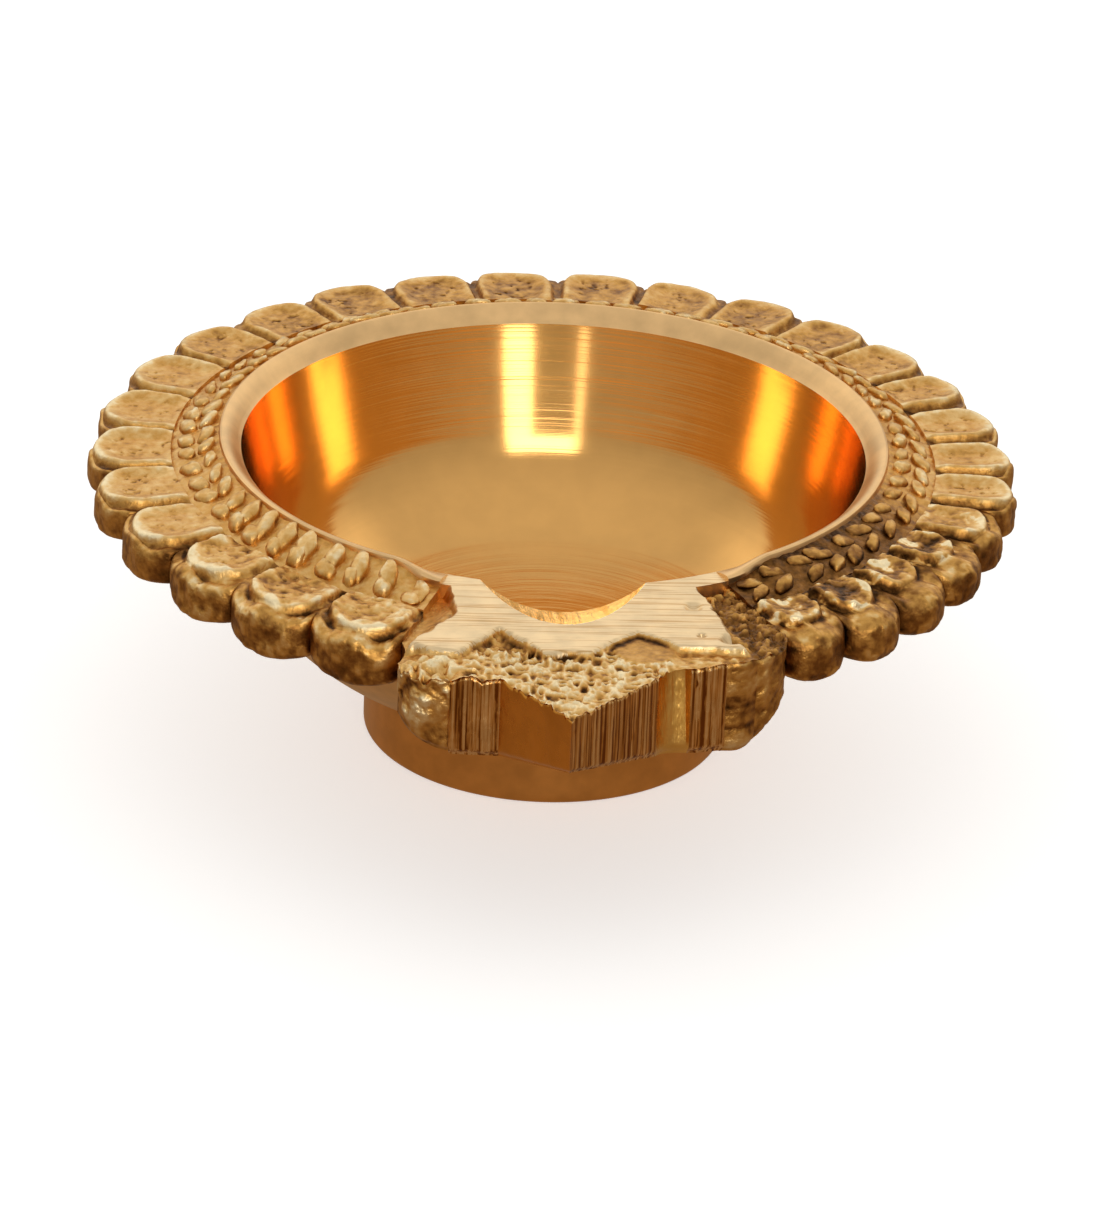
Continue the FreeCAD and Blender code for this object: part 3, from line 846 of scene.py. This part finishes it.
def make_spout():
    """The spout: deck and nose on top, facets and flute round its outline, keel below."""
    azimuth, outline, side, run = spout_outline()
    azimuth, outline = azimuth[:, None], outline[:, None]
    along = np.linspace(0, 1, 168)
    radius = ring_inner + (outline - ring_inner) * along
    x = radius * np.cos(np.radians(azimuth))
    reach = -radius * np.sin(np.radians(azimuth))
    height, shade, depth = spout_top(azimuth, x, reach)
    scoop = groove_height(x, -reach)
    in_scoop = scoop < mouth_height
    height = np.minimum(height, np.minimum(scoop, mouth_height))

    edge = height[:, -1:]
    outline_reach = -outline * np.sin(np.radians(azimuth))
    from_end = np.minimum(azimuth - PETAL_END, PETAL_START + 360 - azimuth)
    bottom = keel_height(outline_reach)
    bottom += (channel_height - column_depth(azimuth) - bottom) * (1 - smooth(-1.0, 9.0, from_end))
    down = np.linspace(0, 1, 56)[1:]
    wall_height = edge + (bottom - edge) * down
    coarseness = np.array([item[3] for item in SPOUT_SIDES])[side][:, None]
    places = polar(azimuth, outline + 0 * down, wall_height)
    fine = rough(places, 0.9, 61)
    names = np.array([item[0] for item in SPOUT_SIDES])[side][:, None]
    striped = rough(np.stack([run, 0 * run, side * 5.0], axis=-1), 0.4, 63)[:, None] * 0.05
    ridged = rough(np.stack([0 * wall_height, 0 * wall_height, wall_height], axis=-1), 0.7, 65) * 0.05
    upright = np.isin(names, ["left_facet", "right_face", "right_facet"])
    point_down = 1 - smooth(-0.1, 0.15, down - 0.85 * (1 - np.abs(run[:, None] / 5.0 - 0.45)))
    lump = (names == "lump") * point_down
    on_lump = names == "lump"
    relief = coarseness * fine * np.where(on_lump, 0.15 + lump, 1) - 0.35 * on_lump * (1 - lump)
    relief += upright * striped + (names == "column") * ridged
    flute_lean = (names == "flute") * 1.3 * (1 - down)
    rounding = 0.25 * (1 - smooth(0, 0.06, down)) + 0.5 * smooth(0.85, 1.0, down) ** 2 + flute_lean
    wall_radius = outline - 0.12 - rounding + relief * smooth(0, 0.05, down)
    wall_shade = 0.45 + 0.2 * fine + lump * (0.3 + 0.35 * fine) + (names == "column") * 0.2 * ridged / 0.05

    back = bowl_outside(200)
    steps = np.linspace(0, 1, 14)
    under_radius, under_height = [], []
    for row, turn in enumerate(azimuth[:, 0]):
        lean = -math.sin(math.radians(turn))
        meeting = np.interp(0, back[:, 1] - keel_height(back[:, 0] * lean), back[:, 0])
        flat = wall_radius[row, -1] + (meeting - wall_radius[row, -1]) * steps[1:]
        climb = meeting + (ring_inner - meeting) * np.sqrt(steps[1:])
        flat_height = wall_height[row, -1] + (keel_height(meeting * lean) - wall_height[row, -1]) * steps[1:]
        under_radius.append([*flat, *climb])
        under_height.append([*flat_height, *np.interp(climb, back[:, 0], back[:, 1])])
    radii = np.hstack([radius, wall_radius, np.array(under_radius)])
    heights = np.hstack([height, wall_height, np.array(under_height)])
    tone = np.hstack([shade, wall_shade, np.full(np.shape(under_radius), 0.4)])
    shape = swept(azimuth[:, 0], np.stack([radii, heights], axis=-1))

    materials = [cast, filed, filed_down, smooth_cast, flute_gold, scooped]
    cast_kind, deck_kind, facet_kind, smooth_kind, flute_kind, groove_kind = range(len(materials))
    kinds = {
        "left_facet": facet_kind,
        "left_face": smooth_kind,
        "right_face": facet_kind,
        "flute": flute_kind,
        "right_facet": facet_kind,
    }
    wall_kind = np.array([kinds.get(item[0], cast_kind) for item in SPOUT_SIDES])[side]
    kind = np.full(radii.shape, cast_kind)
    top_kind = np.where(depth > 0, deck_kind, cast_kind)
    kind[:, : len(along)] = np.where(in_scoop, groove_kind, top_kind)
    kind[:, len(along) : len(along) + len(down)] = wall_kind[:, None]
    index = np.zeros(len(shape[1]), int)
    index[: kind[:-1].size] = kind[:-1].ravel()
    face_kinds = index.tolist()
    make_piece("spout_nose", "wick_spout", shape, materials, face_kinds, tone, sharp=50)


make_bowl()
make_foot()
make_lip()
make_band()
make_beads("bead_row_inner", "inner_bead_row", 1.05, 0.3, True)
make_beads("bead_row_outer", "outer_bead_row", 2.6, -0.3, False)
petal_rng = np.random.default_rng(SEED)
for petal_index in range(PETALS):
    make_petal(petal_index, petal_rng)
make_spout()


# ================================================================== stage, light and camera
def make_floor():
    """A plain pale floor, slightly lit of itself and left out of reflections."""
    mesh = bpy.data.meshes.new("floor")
    edit = bmesh.new()
    bmesh.ops.create_circle(edit, cap_ends=True, segments=64, radius=6.0)
    edit.to_mesh(mesh)
    edit.free()
    floor = bpy.data.objects.new("floor", mesh)
    bpy.context.scene.collection.objects.link(floor)
    material, add, link = new_material("pale_floor")
    out = add("ShaderNodeOutputMaterial")
    shader = add("ShaderNodeBsdfPrincipled")
    shader.inputs["Base Color"].default_value = (0.85, 0.85, 0.85, 1)
    shader.inputs["Roughness"].default_value = 0.9
    shader.inputs["Emission Color"].default_value = (1, 1, 1, 1)
    shader.inputs["Emission Strength"].default_value = 0.5
    link(shader.outputs[0], out.inputs["Surface"])
    mesh.materials.append(material)
    floor.visible_glossy = False


# Soft window panes behind the camera, as (azimuth from, to, elevation from, to, brightness).
PANES = [
    (276.5, 287.0, 2.0, 31.0, 4.2),
    (256.5, 259.5, 2.0, 31.0, 2.2),
    (259.5, 276.5, 17.0, 31.0, 4.2),
]
FAR_WALL = (20.0, 160.0, 8.0, 44.0, 0.5)


def make_world():
    """A pale room: brighter overhead, brown below, with the window panes; plain pale to the camera."""
    world = bpy.data.worlds.new("studio")
    bpy.context.scene.world = world
    world.use_nodes = True
    tree = world.node_tree
    tree.nodes.clear()

    def math_node(operation, first, second=None):
        """A maths node fed by numbers or sockets; returns its output."""
        node = tree.nodes.new("ShaderNodeMath")
        node.operation = operation
        for socket, value in zip(node.inputs, (first, second)):
            if isinstance(value, (int, float)):
                socket.default_value = value
            elif value is not None:
                tree.links.new(value, socket)
        return node.outputs[0]

    def between(value, low, high, soft):
        """1 between two values, with soft ends."""
        ends = []
        for middle in (low, high):
            step = tree.nodes.new("ShaderNodeMapRange")
            step.interpolation_type = "SMOOTHSTEP"
            step.inputs["From Min"].default_value = middle - soft
            step.inputs["From Max"].default_value = middle + soft
            tree.links.new(value, step.inputs["Value"])
            ends.append(step.outputs[0])
        return math_node("SUBTRACT", *ends)

    place = tree.nodes.new("ShaderNodeTexCoord")
    parts = tree.nodes.new("ShaderNodeSeparateXYZ")
    tree.links.new(place.outputs["Generated"], parts.inputs[0])
    # Turned by half a circle so that the angle has no jump behind the camera.
    back_y, back_x = (math_node("MULTIPLY", parts.outputs[name], -1.0) for name in ("Y", "X"))
    turn = math_node("ARCTAN2", back_y, back_x)
    azimuth = math_node("ADD", math_node("MULTIPLY", turn, 180 / math.pi), 180.0)
    elevation = math_node("MULTIPLY", math_node("ARCSINE", parts.outputs["Z"]), 180 / math.pi)

    shade = tree.nodes.new("ShaderNodeValToRGB")
    rise = math_node("ADD", math_node("MULTIPLY", parts.outputs["Z"], 0.5), 0.5)
    tree.links.new(rise, shade.inputs["Fac"])
    elements = shade.color_ramp.elements
    stops = [
        (0.0, (0.30, 0.20, 0.12)),
        (0.47, (0.30, 0.20, 0.12)),
        (0.53, (0.42, 0.40, 0.37)),
        (0.85, (0.66, 0.65, 0.63)),
        (1.0, (0.74, 0.73, 0.71)),
    ]
    while len(elements) < len(stops):
        elements.new(0.5)
    for element, (position, colour) in zip(elements, stops):
        element.position = position
        element.color = (*colour, 1)
    glow = None
    for start, end, low, high, brightness in PANES:
        pane = math_node("MULTIPLY", between(azimuth, start, end, 0.5), between(elevation, low, high, 1.0))
        pane = math_node("MULTIPLY", pane, brightness)
        glow = pane if glow is None else math_node("ADD", glow, pane)
    start, end, low, high, brightness = FAR_WALL
    wall = math_node("MULTIPLY", between(azimuth, start, end, 25.0), between(elevation, low, high, 10.0))
    glow = math_node("ADD", glow, math_node("MULTIPLY", wall, brightness))
    room = tree.nodes.new("ShaderNodeBackground")
    tree.links.new(shade.outputs[0], room.inputs["Color"])
    window = tree.nodes.new("ShaderNodeBackground")
    window.inputs["Color"].default_value = (1.0, 0.97, 0.9, 1)
    tree.links.new(glow, window.inputs["Strength"])
    lit = tree.nodes.new("ShaderNodeAddShader")
    tree.links.new(room.outputs[0], lit.inputs[0])
    tree.links.new(window.outputs[0], lit.inputs[1])
    seen = tree.nodes.new("ShaderNodeBackground")
    seen.inputs["Color"].default_value = (1, 1, 1, 1)
    path = tree.nodes.new("ShaderNodeLightPath")
    mix = tree.nodes.new("ShaderNodeMixShader")
    tree.links.new(path.outputs["Is Camera Ray"], mix.inputs["Fac"])
    tree.links.new(lit.outputs[0], mix.inputs[1])
    tree.links.new(seen.outputs[0], mix.inputs[2])
    out = tree.nodes.new("ShaderNodeOutputWorld")
    tree.links.new(mix.outputs[0], out.inputs["Surface"])


def make_camera():
    """A long lens that looks down at the spout from the front."""
    camera = bpy.data.cameras.new("camera")
    item = bpy.data.objects.new("camera", camera)
    bpy.context.scene.collection.objects.link(item)
    bpy.context.scene.camera = item
    low, high = cad_box
    aim = (low + high) / 2
    azimuth, elevation, roll = (math.radians(degrees) for degrees in (-92.7, 25.8, 2.3))
    distance = 0.63
    way = Vector(
        (
            math.cos(azimuth) * math.cos(elevation),
            math.sin(azimuth) * math.cos(elevation),
            math.sin(elevation),
        )
    )
    item.location = aim + way * distance
    turn = way.to_track_quat("Z", "Y")
    item.rotation_mode = "QUATERNION"
    item.rotation_quaternion = turn @ Matrix.Rotation(roll, 4, "Z").to_quaternion()
    camera.sensor_width = 36
    camera.lens = 234
    camera.clip_start, camera.clip_end = 0.01, 20


make_floor()
make_world()
make_camera()
bpy.context.scene.view_settings.view_transform = "Standard"
